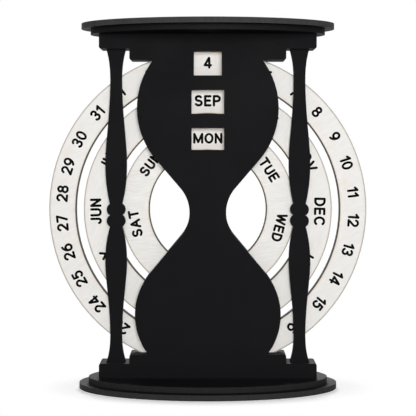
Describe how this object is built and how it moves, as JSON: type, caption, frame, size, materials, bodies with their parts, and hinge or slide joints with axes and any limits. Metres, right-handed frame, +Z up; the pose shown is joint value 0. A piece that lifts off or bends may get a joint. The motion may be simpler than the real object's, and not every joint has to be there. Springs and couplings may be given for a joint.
{
  "type": "perpetual desk calendar",
  "caption": "Hourglass-shaped desk calendar of flat stacked boards on an oval base, whose concentric rings turn by hand to show date, month and day in windows.",
  "frame": {"origin": "middle of the underside of the base, on the surface it stands on", "axes": "+Z up, along the height; -Y is the front, where the windows are; +Y is through the thickness of the stack, towards the back; +X is to the right as seen from the front"},
  "size_m": [0.1734, 0.057, 0.1983],
  "materials": {
    "black_board": "laser-cut board painted matt black",
    "white_ring": "white-washed board with edges browned by the laser"
  },
  "bodies": {
    "stand": {"base_foot_plate": "black_board", "base_step_plate": "black_board", "front_panel": "black_board", "middle_panel": "black_board", "left_pillar": "black_board", "right_pillar": "black_board", "bottom_filler": "black_board", "top_filler": "black_board", "outer_guide_lower": "black_board", "outer_guide_upper": "black_board", "inner_guide_lower": "black_board", "inner_guide_upper": "black_board", "hub_guide": "black_board", "back_panel": "black_board", "cap_step_plate": "black_board", "cap_plate": "black_board"},
    "date_dial": {"date_ring": "white_ring"},
    "month_dial": {"month_ring": "white_ring"},
    "day_dial": {"day_ring": "white_ring"}
  },
  "joints": [
    {"name": "date_turn", "type": "hinge", "parent": "stand", "child": "date_dial", "pos_m": [0, 0.0015, 0.0972], "axis": [0, -1, 0], "continuous": true},
    {"name": "month_turn", "type": "hinge", "parent": "stand", "child": "month_dial", "pos_m": [0, 0.0015, 0.0972], "axis": [0, -1, 0], "continuous": true},
    {"name": "day_turn", "type": "hinge", "parent": "stand", "child": "day_dial", "pos_m": [0, 0.0015, 0.0972], "axis": [0, -1, 0], "continuous": true}
  ]
}
